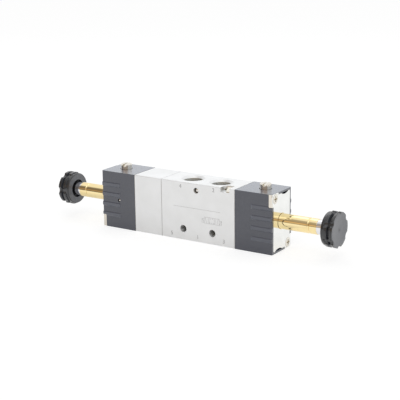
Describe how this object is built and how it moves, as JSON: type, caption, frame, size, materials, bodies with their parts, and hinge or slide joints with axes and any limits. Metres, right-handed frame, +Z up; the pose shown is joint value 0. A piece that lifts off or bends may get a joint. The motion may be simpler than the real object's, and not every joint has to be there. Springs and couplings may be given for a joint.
{
  "type": "pneumatic solenoid valve",
  "caption": "Slim in-line air valve: metal body with threaded ports, a spring block, ribbed plastic pilot heads at both ends, and bare brass armature tubes with lobed black nuts.",
  "frame": {"origin": "under the middle of the whole valve, on the face it stands on", "axes": "+X along the valve towards the right pilot, +Y to the rear, +Z up through the top ports"},
  "size_m": [0.1905, 0.0228, 0.0383],
  "materials": {
    "satin_aluminium": "satin anodised, machined",
    "slate_plastic": "moulded dark slate plastic, satin",
    "gasket_rubber": "matt",
    "plated_steel": "bright nickel plate",
    "nickel_screw": "nickel plated",
    "polished_steel": "polished balls",
    "brass": "polished brass",
    "turned_brass": "turned",
    "core_steel": "turned stainless steel",
    "armature_steel": "ground stainless steel",
    "override_nickel": "nickel plated brass",
    "pin_steel": "ground",
    "spring_steel": "drawn wire and turned steel",
    "spool_aluminium": "hard anodised",
    "seal_rubber": "nitrile rubber",
    "piston_plastic": "acetal",
    "black_plastic": "moulded black plastic"
  },
  "bodies": {
    "valve": {"valve_body": "satin_aluminium", "spring_block": "satin_aluminium", "pilot_housing_right": "slate_plastic", "pilot_housing_left": "slate_plastic", "body_gasket_right": "gasket_rubber", "body_gasket_left": "gasket_rubber", "pilot_gasket_left": "gasket_rubber", "end_plate_right": "plated_steel", "end_plate_left": "plated_steel", "plate_screws_right": "nickel_screw", "plate_screws_left": "nickel_screw", "screw_nuts": "nickel_screw", "body_ball_plug": "polished_steel", "pilot_ball_plug_right": "polished_steel", "pilot_ball_plug_left": "polished_steel", "pilot_nozzle_right": "turned_brass", "pilot_nozzle_left": "turned_brass", "armature_tube_right": "brass", "armature_tube_left": "brass", "tube_seal_ring_right": "seal_rubber", "tube_seal_ring_left": "seal_rubber", "fixed_core_right": "core_steel", "fixed_core_left": "core_steel", "override_pin_right": "pin_steel", "override_pin_left": "pin_steel", "spring_washer": "spring_steel", "rod_seal_ring": "seal_rubber", "centring_spring_right": "spring_steel", "centring_spring_left": "spring_steel", "armature_spring_right": "spring_steel", "armature_spring_left": "spring_steel", "override_spring_right": "spring_steel", "override_spring_left": "spring_steel"},
    "spool": {"spool": "spool_aluminium", "spool_seal_rings": "seal_rubber", "spool_rod": "pin_steel", "spring_collar": "spring_steel"},
    "piston_right": {"piston_right": "piston_plastic", "piston_ring_right": "seal_rubber"},
    "piston_left": {"piston_left": "piston_plastic", "piston_ring_left": "seal_rubber"},
    "armature_right": {"armature_right": "armature_steel", "armature_seal_right": "seal_rubber"},
    "armature_left": {"armature_left": "armature_steel", "armature_seal_left": "seal_rubber"},
    "override_seal_right": {"override_seal_ring_right": "seal_rubber"},
    "override_seal_left": {"override_seal_ring_left": "seal_rubber"},
    "override_right": {"override_button_right": "override_nickel"},
    "override_left": {"override_button_left": "override_nickel"},
    "nut_seal_right": {"nut_seal_ring_right": "seal_rubber"},
    "nut_seal_left": {"nut_seal_ring_left": "seal_rubber"},
    "coil_nut_right": {"coil_nut_right": "black_plastic"},
    "coil_nut_left": {"coil_nut_left": "black_plastic"}
  },
  "joints": [
    {"name": "spool_slide", "type": "slide", "parent": "valve", "child": "spool", "axis": [1, 0, 0], "range_m": [-0.0024, 0.0024], "stiffness_N_per_m": 1500, "deforming": ["centring_spring_right", "centring_spring_left"]},
    {"name": "piston_right_slide", "type": "slide", "parent": "valve", "child": "piston_right", "axis": [1, 0, 0], "range_m": [-0.0024, 0.0024]},
    {"name": "piston_left_slide", "type": "slide", "parent": "valve", "child": "piston_left", "axis": [1, 0, 0], "range_m": [-0.0024, 0.0024]},
    {"name": "armature_right_slide", "type": "slide", "parent": "valve", "child": "armature_right", "axis": [1, 0, 0], "range_m": [0, 0.001], "stiffness_N_per_m": 300, "springref_m": -0.004, "deforming": ["armature_spring_right"]},
    {"name": "override_right_press", "type": "slide", "parent": "valve", "child": "override_seal_right", "axis": [0, 0, -1], "range_m": [0, 0.0015], "stiffness_N_per_m": 500, "springref_m": -0.002, "deforming": ["override_spring_right"]},
    {"name": "override_right_turn", "type": "hinge", "parent": "override_seal_right", "child": "override_right", "pos_m": [0.0488, 0, 0.035], "axis": [0, 0, -1], "range_deg": [0, 90]},
    {"name": "coil_nut_right_travel", "type": "slide", "parent": "valve", "child": "nut_seal_right", "axis": [1, 0, 0], "range_m": [0, 0.0024]},
    {"name": "coil_nut_right_turn", "type": "hinge", "parent": "nut_seal_right", "child": "coil_nut_right", "pos_m": [0.09025, 0, 0.0175], "axis": [1, 0, 0], "range_deg": [0, 1080]},
    {"name": "armature_left_slide", "type": "slide", "parent": "valve", "child": "armature_left", "axis": [-1, 0, 0], "range_m": [0, 0.001], "stiffness_N_per_m": 300, "springref_m": -0.004, "deforming": ["armature_spring_left"]},
    {"name": "override_left_press", "type": "slide", "parent": "valve", "child": "override_seal_left", "axis": [0, 0, -1], "range_m": [0, 0.0015], "stiffness_N_per_m": 500, "springref_m": -0.002, "deforming": ["override_spring_left"]},
    {"name": "override_left_turn", "type": "hinge", "parent": "override_seal_left", "child": "override_left", "pos_m": [-0.0488, 0, 0.035], "axis": [0, 0, -1], "range_deg": [0, 90]},
    {"name": "coil_nut_left_travel", "type": "slide", "parent": "valve", "child": "nut_seal_left", "axis": [-1, 0, 0], "range_m": [0, 0.0024]},
    {"name": "coil_nut_left_turn", "type": "hinge", "parent": "nut_seal_left", "child": "coil_nut_left", "pos_m": [-0.09025, 0, 0.0175], "axis": [-1, 0, 0], "range_deg": [0, 1080]}
  ],
  "couplings": [
    {"joint": "piston_right_slide", "follows": "spool_slide", "ratio": 1},
    {"joint": "piston_left_slide", "follows": "spool_slide", "ratio": 1},
    {"joint": "coil_nut_right_travel", "follows": "coil_nut_right_turn", "m_per_rad": 0.00012732},
    {"joint": "coil_nut_left_travel", "follows": "coil_nut_left_turn", "m_per_rad": 0.00012732}
  ]
}
